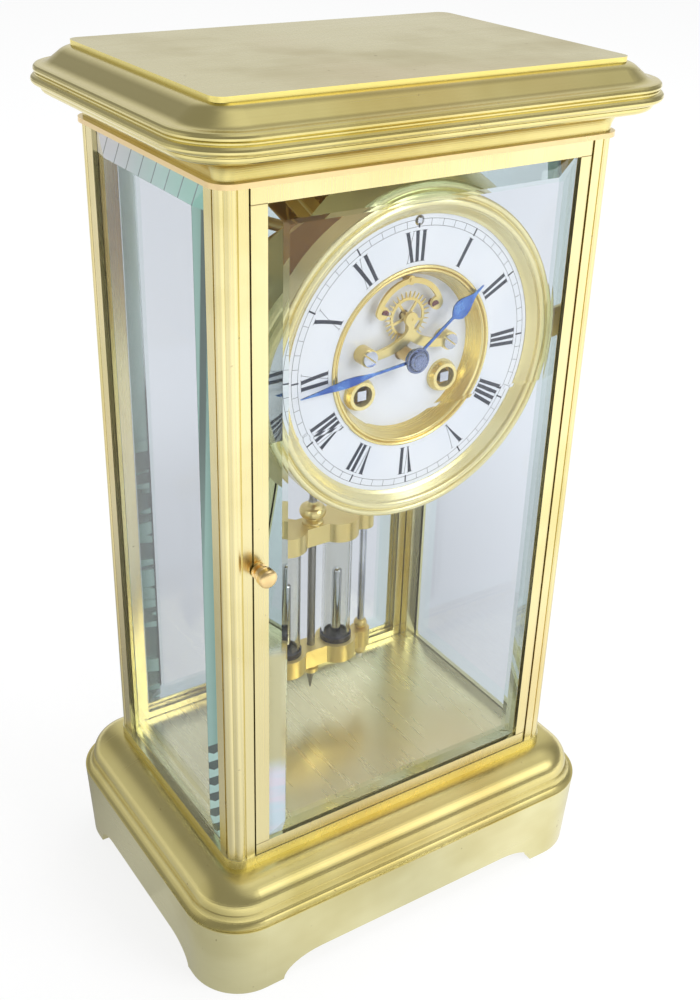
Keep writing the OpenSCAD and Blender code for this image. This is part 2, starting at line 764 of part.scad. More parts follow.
// Winding arbor with its ratchet wheel and square
module winding_arbor(p) {
    rod_y(front_plate_y - 1, back_plate_y + plate_t - arbor_end, wind_r, p);
    from_front(front_plate_y - 2.2, front_plate_y - 1, p)
        polygon([for (i = [0 : 23]) for (k = [0, 1]) polar(k == 0 ? 5.6 : 4.9, 15 * i + 2 * k)]);
    from_front(wind_end_y, front_plate_y - 2.2 + eps, p) square(square_w, center = true);
}

module going_arbor() color(steel) winding_arbor(going_p);
module strike_arbor() color(steel) winding_arbor(strike_p);

module second_wheel() {
    color(steel) {
        arbor(second_p, 0.8);
        from_front(great_y - 0.4, great_y + 2, second_p)
            pinion(great_pinion_n, great_m, gap_facing(second_p, going_p, great_pinion_n));
    }
    color(brass) from_front(second_y, second_y + second_t, second_p)
        crossed(second_n, second_m, heading(second_p, centre_p), 2, 1.2);
}

// The centre arbor runs forward through the pipes and carries the minute hand by friction
module centre_wheel() {
    color(steel) {
        rod_y(minute_hand_y + 0.3, back_plate_y + plate_t - arbor_end, centre_arbor_r);
        from_front(second_y - 0.8, second_y + 1.8, centre_p)
            pinion(centre_pinion_n, second_m, gap_facing(centre_p, second_p, centre_pinion_n));
    }
    color(brass) from_front(centre_y, centre_y + centre_t)
        crossed(centre_n, centre_m, heading(centre_p, third_p), 2, 1.1);
}

module third_wheel() {
    color(steel) {
        arbor(third_p, fine_arbor_r);
        from_front(centre_y - 0.2, centre_y + 1.3, third_p)
            pinion(third_pinion_n, centre_m, gap_facing(third_p, centre_p, third_pinion_n));
    }
    color(brass) from_front(third_y, third_y + third_t, third_p)
        crossed(third_n, third_m, heading(third_p, escape_p), 1.6, 1);
}

// Escape wheel in front of the dial, with thirty slender teeth
module escape_wheel() {
    root = escape_r - 2.2;
    color(gilt) difference() {
        from_front(escape_y, escape_y + 0.6, escape_p) difference() {
            union() {
                circle(root);
                for (i = [0 : escape_n - 1]) rotate(360 / escape_n * i)
                    polygon([[root - 0.3, -0.28], [escape_r, -0.09], [escape_r, 0.09], [root - 0.3, 0.28]]);
            }
            difference() {
                circle(root - 1);
                circle(1.6);
                for (i = [0 : 4]) rotate(72 * i + 54) translate([0, -0.45]) square([root - 0.5, 0.9]);
            }
        }
        rod_y(escape_y - 1, escape_y + 2, escape_arbor_r, escape_p);
    }
    color(gilt) from_front(escape_y + 0.6, escape_y + 2.2, escape_p) ring2d(1.6, escape_arbor_r);
    color(steel) {
        rod_y(cock_y + cock_t + arbor_end, back_plate_y + plate_t - arbor_end, escape_arbor_r, escape_p);
        rod_y(cock_y + arbor_end, cock_y + cock_t + 1, pivot_arbor_r, escape_p);
        from_front(third_y - 0.6, third_y + 1.4, escape_p)
            pinion(escape_pinion_n, third_m, gap_facing(escape_p, third_p, escape_pinion_n));
    }
}

// Jewel outline: a disc with one side ground flat
module jewel2d(side) translate(escape_p + polar(jewel_at, 90 - side * 72)) rotate(90 - side * 72)
    difference() {
        circle(jewel_r);
        translate([-jewel_r - 1, side > 0 ? -jewel_r - 1.45 : 0.45]) square([2 * jewel_r + 2, jewel_r + 1]);
    }

// Anchor: a band round the escape wheel with a rounded end for each jewel
module anchor() color(gilt) {
    difference() {
        from_front(anchor_y, anchor_y + anchor_t) difference() {
            union() {
                translate(escape_p) intersection() {
                    ring2d(anchor_out, anchor_in);
                    polygon([[0, 0], polar(30, 15), polar(42, 90), polar(30, 165)]);
                }
                for (s = [-1, 1]) translate(escape_p + polar(jewel_at + 0.9, 90 - s * 72)) circle(2.5);
                translate(anchor_p) circle(anchor_boss_r);
            }
            translate(anchor_p) circle(anchor_arbor_r);
            for (s = [-1, 1]) jewel2d(s);
        }
    }
    color(steel) rod_y(anchor_y - 0.3, susp_y + susp_t - arbor_end, anchor_arbor_r, anchor_p);
}

module pallet_jewels() color(ruby) for (s = [-1, 1])
    from_front(anchor_y - 0.2, escape_y + 1) jewel2d(s);

// Crutch: a collet on the anchor arbor, a strip down and two fork pins round the rod
module crutch() color(brass) {
    from_front(crutch_y, crutch_y + crutch_t, anchor_p) difference() {
        union() {
            circle(2.4);
            translate([-1.2, -crutch_drop]) square([2.4, crutch_drop]);
            translate([0, -crutch_drop]) square([2 * fork_x + 2.4, 2.6], center = true);
        }
        circle(anchor_arbor_r);
    }
    for (s = [-1, 1]) rod_y(crutch_y, pend_y + 2.8, fork_r, [s * fork_x, anchor_p[1] - crutch_drop]);
}

// One leg of the escape cock as points along its middle, from the neck out to the foot
function leg(t) = [cock_foot[0] * pow(t, 1.5), (cock_foot[1] - neck_up) * sin(90 * t) + neck_up];

module escape_cock() color(pale_brass) {
    from_front(cock_y, cock_y + cock_t) difference() {
        union() {
            translate(escape_p) circle(2.6);
            translate([-1.3, neck_up - 1.1]) square([2.6, escape_up - neck_up + 1.1]);
            for (s = [-1, 1]) scale([s, 1]) {
                polygon(concat([for (i = [0 : 10]) leg(i / 10) + leg_w * [0.5, 0.6]],
                    [for (i = [10 : -1 : 0]) leg(i / 10) - leg_w * [0.5, 0.6]]));
                translate(cock_foot) circle(cock_post_r);
            }
        }
        translate(escape_p) circle(pivot_arbor_r + run_gap);
    }
    for (s = [-1, 1]) rod_y(cock_y + cock_t - eps, sunk_y, cock_post_r, [s * cock_foot[0], cock_foot[1]]);
}

module cock_screws() color(steel) for (s = [-1, 1])
    from_front(cock_y - 1, cock_y, [s * cock_foot[0], cock_foot[1]]) difference() {
        circle(cock_post_r - 0.5);
        rotate(-38) square([2 * cock_post_r, 0.6], center = true);
    }

// Motion work
module cannon_pinion() color(steel) difference() {
    union() {
        from_front(cannon_y, cannon_y + 1.4)
            pinion(cannon_n, cannon_m, gap_facing(centre_p, motion_p, cannon_n));
        rod_y(minute_hand_y, cannon_y + 1.5, cannon_r);
    }
    rod_y(minute_hand_y - 1, cannon_y + 3, centre_arbor_r + run_gap);
}

module minute_wheel() {
    difference() {
        union() {
            color(brass) from_front(cannon_y + 0.2, cannon_y + 1.1, motion_p)
                teeth(minute_wheel_n, cannon_m, heading(motion_p, centre_p));
            color(steel) from_front(cannon_y - 1.8, cannon_y + 0.2, motion_p)
                pinion(minute_pinion_n, hour_m, gap_facing(motion_p, centre_p, minute_pinion_n));
        }
        rod_y(cannon_y - 5, cannon_y + 5, stud_r + run_gap, motion_p);
    }
}

module hour_wheel() color(brass) difference() {
    union() {
        from_front(cannon_y - 1.6, cannon_y - 0.7) teeth(hour_n, hour_m, heading(centre_p, motion_p));
        rod_y(hour_hand_y, cannon_y - 0.7, hour_pipe_r);
    }
    rod_y(hour_hand_y - 1, cannon_y + 1, cannon_r + run_gap);
}

// Both halves of a hand's outline from its half widths, as [half width, distance from the centre]
module hand2d(side) polygon(concat(side, [for (i = [len(side) - 1 : -1 : 0]) [-side[i][0], side[i][1]]]));

module hour_hand() color(blue) from_front(hour_hand_y, hour_hand_y + hand_t) difference() {
    union() {
        circle(3.9);
        rotate(-30 - shown_min / 2) hand2d([[0.55, 0], [0.5, 0.555 * hour_len],
            [2.2, 0.59 * hour_len], [3.4, 0.63 * hour_len], [3.7, 0.685 * hour_len],
            [3.2, 0.74 * hour_len], [2, 0.8 * hour_len], [1.1, 0.85 * hour_len],
            [0.55, 0.905 * hour_len], [0.1, hour_len]]);
    }
    circle(hour_pipe_r);
}

module minute_hand() color(blue) from_front(minute_hand_y, minute_hand_y + hand_t) difference() {
    union() {
        circle(3.4);
        rotate(-6 * shown_min) hand2d([[0.55, 0], [0.5, 0.37 * minute_len], [1, 0.455 * minute_len],
            [1.6, 0.535 * minute_len], [1.75, 0.62 * minute_len], [1.4, 0.7 * minute_len],
            [0.95, 0.785 * minute_len], [0.6, 0.865 * minute_len], [0.1, minute_len]]);
    }
    circle(cannon_r);
}

module hand_collet() color(dark_steel) difference() {
    turned([[0, minute_hand_y], [4.6, minute_hand_y], [4.9, minute_hand_y - 0.5],
        [4.8, minute_hand_y - 1.1], [4.1, minute_hand_y - 1.1], [3.9, minute_hand_y - 0.8],
        [3.6, minute_hand_y - 0.8], [3.6, collet_y + 0.6], [3.3, collet_y + 0.3],
        [2.5, collet_y + 0.3], [2.3, collet_y], [0, collet_y]]);
    rotate([0, 40, 0]) translate([-3, collet_y - 1, -0.35]) cube([6, 1.5, 0.7]);
}

// Striking train: pin wheel, warning wheel and fly
module pin_wheel() {
    color(steel) {
        arbor(pin_p, 0.8);
        from_front(drum_back_y - 0.5, drum_back_y + 1.9, pin_p)
            pinion(great_pinion_n, great_m, gap_facing(pin_p, strike_p, great_pinion_n));
        for (i = [0 : 7]) rod_y(pin_wheel_y - 1, pin_wheel_y + 0.1, 0.4, pin_p + polar(8.6, 45 * i));
    }
    color(brass) from_front(pin_wheel_y, pin_wheel_y + 1, pin_p)
        crossed(pin_n, pin_m, heading(pin_p, warn_p), 2, 1.8);
}

module warning_wheel() {
    color(steel) {
        arbor(warn_p, fine_arbor_r);
        from_front(pin_wheel_y - 0.4, pin_wheel_y + 1.4, warn_p)
            pinion(warn_pinion_n, pin_m, gap_facing(warn_p, pin_p, warn_pinion_n));
    }
    color(brass) from_front(warn_y, warn_y + 0.9, warn_p)
        crossed(warn_n, warn_m, heading(warn_p, fly_p), 1.6, 1);
}

module fly() {
    color(steel) {
        arbor(fly_p, fine_arbor_r);
        from_front(warn_y - 0.4, warn_y + 1.2, fly_p)
            pinion(fly_pinion_n, warn_m, gap_facing(fly_p, warn_p, fly_pinion_n));
    }
    color(brass) from_front(fly_front_y, fly_back_y, fly_p) {
        circle(1.2);
        square([11.6, 0.6], center = true);
    }
}

// Hammer: an arbor through the plates, an arm behind the back plate and a head over the bell
module hammer() {
    reach = hammer_head - hammer_p;
    color(steel) {
        rod_y(train_front_y + arbor_end - 1.8, hammer_y + hammer_t, anchor_arbor_r, hammer_p);
        from_front(hammer_y, hammer_y + hammer_t, hammer_p) {
            circle(2.2);
            rotate(heading([0, 0], reach)) translate([0, -1]) square([norm(reach), 2]);
            translate(reach) circle(1.8);
        }
        rod_y(hammer_y, bell_y, 1.1, hammer_head);
    }
    color(brass) turned([[0, bell_y - 3], [3.4, bell_y - 3], [4, bell_y - 2.4], [4, bell_y + 6.4],
        [3.4, bell_y + 7], [0, bell_y + 7]], hammer_head);
}

// Stand: a post from the back plate, a bar across and a stud through the bell
module bell_stand() color(steel) {
    turn = heading(stand_foot, [0, 0]);
    rod_y(back_plate_y + plate_t, bell_bar_y + 2.2, 2.5, stand_foot);
    from_front(bell_bar_y, bell_bar_y + 2.2, stand_foot) {
        rotate(turn) translate([0, -2]) square([norm(stand_foot), 4]);
        translate(-stand_foot) circle(3.6);
    }
    rod_y(bell_bar_y + 2, bell_y + bell_depth - bell_wall - 0.15, 3);
    rod_y(bell_bar_y + 2, bell_y + bell_depth + 2.5, 2);
    from_front(bell_y + bell_depth, bell_y + bell_depth + 2) circle(3.6, $fn = 6);
}

module bell() color(brass) turned(concat(
    [[2 + run_gap, bell_y + bell_depth]],
    bow([0, bell_y], bell_r, bell_depth, 83, 0, 12),
    bow([0, bell_y], bell_r - bell_wall, bell_depth - bell_wall, 0, 83, 12),
    [[2 + run_gap, bell_y + bell_depth - bell_wall]]));

// Cock behind the back plate: carries the anchor arbor, the suspension and the rate arbor
module suspension_cock() color(brass) {
    difference() {
        from_front(susp_y, susp_y + susp_t) union() {
            translate([-susp_half_w, anchor_p[1] - susp_drop]) square([2 * susp_half_w, susp_h]);
            translate([-susp_half_w / 4, anchor_p[1] + susp_half_w])
                square([susp_half_w / 2, rate_p[1] - anchor_p[1] - susp_half_w + 4]);
        }
        rod_y(susp_y - 1, susp_y + susp_t + 1, anchor_arbor_r + run_gap, anchor_p);
        rod_y(susp_y - 1, susp_y + susp_t + 1, rate_arbor_r + run_gap, rate_p);
    }
    for (s = [-1, 1]) rod_y(back_plate_y + plate_t, susp_y + eps, 2.5, [s * 9, anchor_p[1] + 8]);
    difference() {
        translate([-2.4, susp_y + susp_t - eps, cock_arm_z])
            cube([4.8, pend_y + 3.2 - susp_y - susp_t, cock_arm_h]);
        translate([-strip_t / 2 - slot_gap, pend_y - strip_w / 2 - slot_gap, cock_arm_z - 1])
            cube([strip_t + 2 * slot_gap, strip_w + 2 * slot_gap, cock_arm_h + 2]);
    }
}

// Arbor that sets the rate from a square at the top of the dial
module rate_arbor() color(steel) {
    rod_y(dial_front_y + 0.4, susp_y + susp_t + 1.5, rate_arbor_r, rate_p);
    from_front(dial_front_y - 0.3, dial_front_y + 2, rate_p) square(1.7, center = true);
}

// Spring strip with the pin that rests on the cock and the chops it hangs the rod by
module suspension_spring() {
    top_z = cock_arm_z + cock_arm_h;
    color(steel) {
        translate([-strip_t / 2, pend_y - strip_w / 2, chop_top_z - 1])
            cube([strip_t, strip_w, top_z + 2 - chop_top_z]);
        translate([-2.6, pend_y, top_z + 1]) rotate([0, 90, 0]) cylinder(h = 5.2, r = 0.7);
    }
    color(brass) translate([-1.6, pend_y - 2.3, chop_top_z - 4]) cube([3.2, 4.6, 4]);
}

module upright(r, z0, z1, x = 0) {
    translate([x, pend_y, z0]) cylinder(h = z1 - z0, r = r);
}

// Pendulum rod with its turned finial over the top yoke and a pointer below
module pendulum_rod() {
    color(steel) {
        upright(upper_rod_r, finial_z + 4, chop_top_z - 4);
        upright(rod_r, low_yoke_z - rating_h - 1.5, finial_z + 2);
        translate([0, pend_y, low_yoke_z - tip_drop])
            cylinder(h = tip_drop - rating_h - 1.5, r1 = 0.3, r2 = rod_r);
    }
    color(gilt) translate([0, pend_y, finial_z]) rotate_extrude() polygon(concat(
        [[0, 0], [4.8, 0], [4.8, 1.1], [4.1, 1.6], [3.3, 2.2], [3.3, 2.8], [4.3, 3.2]],
        bow([4.3, 5.7], 1.55, 2.5, -80, 80, 6),
        [[3, 8.6], [2.1, 9.6], [1.7, finial_h], [0, finial_h]]));
}

module yoke(z) difference() {
    translate([0, pend_y, z]) linear_extrude(height = yoke_t) {
        square([2 * side_rod_x, 6.4], center = true);
        square([2 * jar_x, 10.4], center = true);
        for (s = [-1, 1]) {
            translate([s * jar_x, 0]) circle(jar_r + 2.7);
            translate([s * side_rod_x, 0]) circle(side_rod_r + 2.7);
        }
    }
    upright(rod_r + yoke_gap, z - 1, z + yoke_t + 1);
}

module pendulum_yokes() color(gilt) difference() {
    union() {
        yoke(low_yoke_z);
        yoke(top_yoke_z);
    }
    for (s = [-1, 1]) upright(side_rod_r + yoke_gap, low_yoke_z - 1, top_yoke_z + rod_seat, s * side_rod_x);
}

module side_rods() color(steel) for (s = [-1, 1])
    upright(side_rod_r, low_yoke_z - ball_r - 4.5, top_yoke_z + rod_seat, s * side_rod_x);

// Nuts over and under the low yoke, each a ball with flat ends
module ball_nuts() color(gilt) for (s = [-1, 1], z = [jar_foot_z + 0.8 * ball_r, low_yoke_z - 0.8 * ball_r])
    translate([s * side_rod_x, pend_y, z]) rotate_extrude() polygon(concat(
        [[side_rod_r + yoke_gap, -0.8 * ball_r]], bow([0, 0], ball_r, ball_r, -53.13, 53.13, 8),
        [[side_rod_r + yoke_gap, 0.8 * ball_r]]));

module jars() color(clear) for (s = [-1, 1]) difference() {
    upright(jar_r, jar_foot_z + cup_foot, top_yoke_z, s * jar_x);
    upright(jar_r - jar_wall, jar_foot_z, top_yoke_z + 1, s * jar_x);
}

module jar_cups() color(dark_steel) for (s = [-1, 1]) difference() {
    upright(jar_r + cup_t, jar_foot_z, jar_foot_z + cup_h, s * jar_x);
    upright(jar_r + yoke_gap, jar_foot_z + cup_foot, top_yoke_z, s * jar_x);
}

module mercury_columns() color(steel) for (s = [-1, 1])
    translate([s * jar_x, pend_y, jar_foot_z + cup_foot]) rotate_extrude() polygon(concat(
        [[0, 0], [column_r, 0]], bow([0, column_h - 1.4], column_r, 1.4, 0, 90, 6)));

module rating_nut() color(gilt) difference() {
    translate([0, pend_y, low_yoke_z - 0.1 - rating_h]) rotate_extrude() polygon(
        [[0, 0], [0.8 * rating_r, 0], [rating_r, 0.8], [rating_r, 2.6], [0.75 * rating_r, 3.1],
            [0.75 * rating_r, 3.5], [rating_r, 4], [rating_r, rating_h - 0.4],
            [0.9 * rating_r, rating_h], [0, rating_h]]);
    upright(rod_r + run_gap, low_yoke_z - rating_h - 1, low_yoke_z + 1);
}

plinth();
base_moulding();
floor_plate();
corner_pillars();
side_glasses();
top_frame();
cornice();
cap_moulding();
top_slab();
front_door_frame();
front_door_glass();
rear_door_frame();
rear_door_glass();
front_knob();
rear_knob();
bezel();
chapter_ring();
gilt_ring();
sunk_centre();
winding_collets();
dial_brackets();
front_plate();
back_plate();
plate_pillars();
going_barrel();
going_arbor();
second_wheel();
centre_wheel();
third_wheel();
escape_wheel();
anchor();
pallet_jewels();
crutch();
escape_cock();
cock_screws();
cannon_pinion();
minute_wheel();
hour_wheel();
hour_hand();
minute_hand();
hand_collet();
strike_barrel();
strike_arbor();
pin_wheel();
warning_wheel();
fly();
hammer();
bell_stand();
bell();
suspension_cock();
rate_arbor();
suspension_spring();
pendulum_rod();
pendulum_yokes();
side_rods();
ball_nuts();
jars();
jar_cups();
mercury_columns();
rating_nut();
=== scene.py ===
import math

import bmesh
import bpy
from mathutils import Matrix, Vector


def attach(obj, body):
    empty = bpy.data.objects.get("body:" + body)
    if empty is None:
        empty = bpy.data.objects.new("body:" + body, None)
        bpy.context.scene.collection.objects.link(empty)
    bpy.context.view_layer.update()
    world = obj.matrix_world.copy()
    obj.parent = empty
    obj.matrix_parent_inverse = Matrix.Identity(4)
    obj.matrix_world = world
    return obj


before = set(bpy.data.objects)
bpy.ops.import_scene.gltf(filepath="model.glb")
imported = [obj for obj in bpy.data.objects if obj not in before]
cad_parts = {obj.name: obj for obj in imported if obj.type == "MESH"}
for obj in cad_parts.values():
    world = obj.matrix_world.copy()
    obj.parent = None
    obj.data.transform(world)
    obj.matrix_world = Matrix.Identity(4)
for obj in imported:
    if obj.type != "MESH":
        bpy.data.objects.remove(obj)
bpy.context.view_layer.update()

# The bench: a sheet of white paper that runs on out of sight. It glows white where the lens sees
# it; where the polished brass mirrors it, it glows with painted light and painted shade in broad
# soft patches, and seen through the panes it is painted a little greyer, with painted fold shade.
scene = bpy.context.scene
scene.view_settings.view_transform = "Standard"


class Value:
    """A socket of a finish. Arithmetic on it adds the Math nodes."""

    def __init__(self, finish, socket):
        self.finish = finish
        self.socket = socket

    def __add__(self, other):
        return self.finish.calc("ADD", self, other)

    __radd__ = __add__

    def __sub__(self, other):
        return self.finish.calc("SUBTRACT", self, other)

    def __rsub__(self, other):
        return self.finish.calc("SUBTRACT", other, self)

    def __mul__(self, other):
        return self.finish.calc("MULTIPLY", self, other)

    __rmul__ = __mul__

    def __pow__(self, other):
        return self.finish.calc("POWER", self, other)

    def __abs__(self):
        return self.finish.calc("ABSOLUTE", self)

    def most(self, other):
        return self.finish.calc("MAXIMUM", self, other)

    def least(self, other):
        return self.finish.calc("MINIMUM", self, other)

    def rises(self, low, high):
        """0 below low, 1 above high, smooth between them."""
        return self.finish.node(
            "MapRange",
            {"interpolation_type": "SMOOTHSTEP"},
            {"Value": self, "From Min": low, "From Max": high},
        )


class Finish:
    """The node tree of one finish, built one node at a time."""

    def __init__(self, tree, output):
        self.tree = tree
        self.tree.nodes.clear()
        self.end = self.tree.nodes.new(output)

    def node(self, kind, settings=None, sockets=None, output=0):
        """A new node: its settings first, then the values or links of its sockets."""
        made = self.tree.nodes.new("ShaderNode" + kind)
        for name, setting in (settings or {}).items():
            setattr(made, name, setting)
        for name, value in (sockets or {}).items():
            if isinstance(value, Value):
                self.tree.links.new(value.socket, made.inputs[name])
            else:
                made.inputs[name].default_value = value
        return Value(self, made.outputs[output])

    def calc(self, operation, *values):
        return self.node("Math", {"operation": operation}, dict(enumerate(values)))

    def ray(self, kind):
        """1 for rays of this kind, such as Is Shadow Ray, and 0 for others."""
        return self.node("LightPath", output=kind)

    def place(self):
        """Where a point is on the clock at rest, in metres."""
        return self.node("TexCoord", output="Object")

    def parts(self, vector):
        """The three numbers of a place or a direction."""
        split = self.node("SeparateXYZ", {}, {0: vector})
        return [Value(self, out) for out in split.socket.node.outputs]

    def scaled(self, colour, share):
        return self.node("VectorMath", {"operation": "SCALE"}, {0: colour, "Scale": share})

    def stretched(self, scale, shift=(0, 0, 0)):
        """The place on the clock, scaled by axis, for grain that runs one way."""
        return self.node(
            "VectorMath", {"operation": "MULTIPLY_ADD"}, {0: self.place(), 1: scale, 2: shift}
        )

    def cloud(self, vector, detail=2.0, roughness=0.5):
        return self.node(
            "TexNoise", {}, {"Vector": vector, "Scale": 1, "Detail": detail, "Roughness": roughness}
        )

    def blend(self, share, first, second):
        """Colour first goes over to colour second as share rises."""
        return self.node(
            "Mix",
            {"data_type": "RGBA"},
            {0: share, 6: colour_of(first), 7: colour_of(second)},
            2,
        )

    def surface(self, **sockets):
        names = {name.replace("_", " "): value for name, value in sockets.items()}
        return self.node("BsdfPrincipled", {}, names)

    def close(self, shader):
        self.tree.links.new(shader.socket, self.end.inputs["Surface"])


def colour_of(value):
    """A colour as a socket wants it: a value stays, three numbers get an alpha."""
    return value if isinstance(value, Value) else (*value, 1)


def srgb(red, green, blue):
    """A colour in the numbers 0 to 255 of a picture, as the light it stands for."""
    return tuple(
        c / 12.92 if c <= 0.04045 else ((c + 0.055) / 1.055) ** 2.4
        for c in (red / 255, green / 255, blue / 255)
    )


def new_finish(name):
    material = bpy.data.materials.new(name)
    material.use_nodes = True
    return material, Finish(material.node_tree, "ShaderNodeOutputMaterial")


def in_scene(name, data):
    made = bpy.data.objects.new(name, data)
    scene.collection.objects.link(made)
    return made


bench_half = 6.0
bench_corners = [(-1, -1), (1, -1), (1, 1), (-1, 1)]
bench_mesh = bpy.data.meshes.new("bench")
bench_mesh.from_pydata(
    [(bench_half * side, bench_half * end, 0) for side, end in bench_corners],
    [], [(0, 1, 2, 3)],
)
bench = in_scene("bench", bench_mesh)
bench_material, paper = new_finish("white_paper")
paper_grain = paper.cloud(paper.stretched((180, 180, 180)), 3)
lit_paper = paper.surface(
    Base_Color=paper.blend(paper_grain, srgb(244, 246, 248), srgb(250, 251, 252)),
    Roughness=0.9,
    Specular_IOR_Level=0.1,
)
# The painted light that the brass mirrors goes by the bearing from the clock, in radians, and by
# how far away the paper is: brighter to the front, a painted shadow close by, with a few slow
# waves.
front_bearing = 0.977
wave_count, wave_start, wave_light = 5.14, 14.7, 0.12
near_edge, far_edge = 0.08, 0.55
paper_across, paper_deep = paper.parts(paper.place())[:2]
away = (paper_across * paper_across + paper_deep * paper_deep) ** 0.5
bearing = paper.calc("ARCTAN2", paper_deep, paper_across)
waves = paper.calc("COSINE", bearing * wave_count - wave_start)
to_front = paper.calc("COSINE", bearing + front_bearing)
near_light = 0.67 + to_front * 0.36
far_light = 1.20 + to_front * 0.25
mirrored_painted_light = near_light + (far_light - near_light) * away.rises(near_edge, far_edge)
mirrored_painted_light = mirrored_painted_light + waves * wave_light
# Seen through the panes the paper glows greyer than white and is painted darker still in soft fold
# shapes.
painted_fold_shade = paper.cloud(paper.stretched((2.2, 1.1, 1)), 1, 0.3).rises(0.35, 0.65)
painted_grey_through_panes = 0.78 + painted_fold_shade * 0.16
seen = paper.ray("Is Camera Ray")
glossy = paper.ray("Is Glossy Ray")
passed = paper.ray("Is Transmission Ray")
glow = (seen * 1.08).most(glossy * mirrored_painted_light).most(passed * painted_grey_through_panes)
glowing_paper = paper.node("Emission", {}, {"Color": paper.scaled((1, 1, 1), glow)})
glow_share = (seen * 0.76).most(glossy * 0.85).most(passed * 0.85)
paper.close(paper.node("MixShader", {}, {0: glow_share, 1: lit_paper, 2: glowing_paper}))
bench_mesh.materials.append(bench_material)

# The room: grey walls with brighter patches, and three broad soft lamps, the main one
# over the right shoulder, one from the left and one overhead. The lamps don't mirror in
# the brass; the patches do.
room = bpy.data.worlds.new("room")
scene.world = room
room.use_nodes = True
air = Finish(room.node_tree, "ShaderNodeOutputWorld")
air_colour = (1.0, 0.995, 0.985)
# Each patch: the way to it, the closeness to that way at which it starts and is full,
# and its light.
ceiling = ((0.28, 0, 0.96), 0.86, 0.99, 0.27)
front_top = ((0.40, -0.40, 0.82), 0.72, 0.95, 0.34)
window = ((0.49, -0.68, 0.54), 0.94, 0.985, 1.2)
right_wall = ((0.58, 0.76, 0.28), 0.72, 0.98, 0.50)
left_wall = ((-0.80, 0.58, 0.1), 0.70, 0.97, 0.3)
sky = air.node("TexCoord", output="Generated")
air_light = 0.30
for way, start, full, light in (ceiling, front_top, window, right_wall, left_wall):
    close_to = air.node("VectorMath", {"operation": "DOT_PRODUCT"}, {0: sky, 1: way}, "Value")
    air_light = air_light + close_to.rises(start, full) * light
looked_at = air.ray("Is Camera Ray")
passed_air = air.ray("Is Transmission Ray")
air_light = (air_light * (1 - looked_at) + looked_at).most(passed_air * 0.85)
air.close(air.node("Background", {}, {"Color": air.scaled(air_colour, air_light)}))

# Each lamp: its place, the height on the clock that it is aimed at, width, height, watts.
for name, place, aim, width, height, power in (
    ("lamp_front", (1.2, -2.2, 1.5), 0.15, 1.6, 1.6, 30),
    ("lamp_left", (-2.0, -1.2, 0.9), 0.15, 0.9, 1.5, 8),
    ("lamp_over", (0.9, 0.2, 2.2), 0.2, 2.0, 1.6, 20),
):
    lamp_data = bpy.data.lights.new(name, "AREA")
    lamp_data.shape = "RECTANGLE"
    lamp_data.size, lamp_data.size_y = width, height
    lamp_data.energy = power
    lamp = in_scene(name, lamp_data)
    lamp.location = place
    lamp.visible_glossy = False
    to_clock = Vector((0, 0, aim)) - Vector(place)
    lamp.rotation_euler = to_clock.to_track_quat("-Z", "Y").to_euler()

# The camera stands left of the clock and above it, as the photograph was taken; the
# lens and the place come from the clock's own edges and from the circles of the dial.
camera_data = bpy.data.cameras.new("camera")
camera_data.lens = 46.70
camera_data.sensor_width = 36
camera_data.shift_y = 0.01127
camera_data.clip_start = 0.01
camera = in_scene("camera", camera_data)
camera_right = Vector((0.83746721, -0.54574024, 0.02857049))
camera_down = Vector((-0.24426709, -0.42058327, -0.87375243))
camera_ahead = Vector((0.48885813, 0.72476017, -0.48553107))
camera.matrix_world = (
    Matrix.Translation((-0.26009, -0.39535, 0.43333))
    @ Matrix((camera_right, -camera_down, -camera_ahead)).transposed().to_4x4()
)
scene.camera = camera

# The plinth: brass sheet bent round the corners, with arches sawn out between the four
# feet. Like the whole case it was turned over with fine emery along its length and
# lacquered, and the lacquer has let in olive and rosy patches and a few pits.
mm = 0.001
pit_brown = srgb(120, 96, 52)


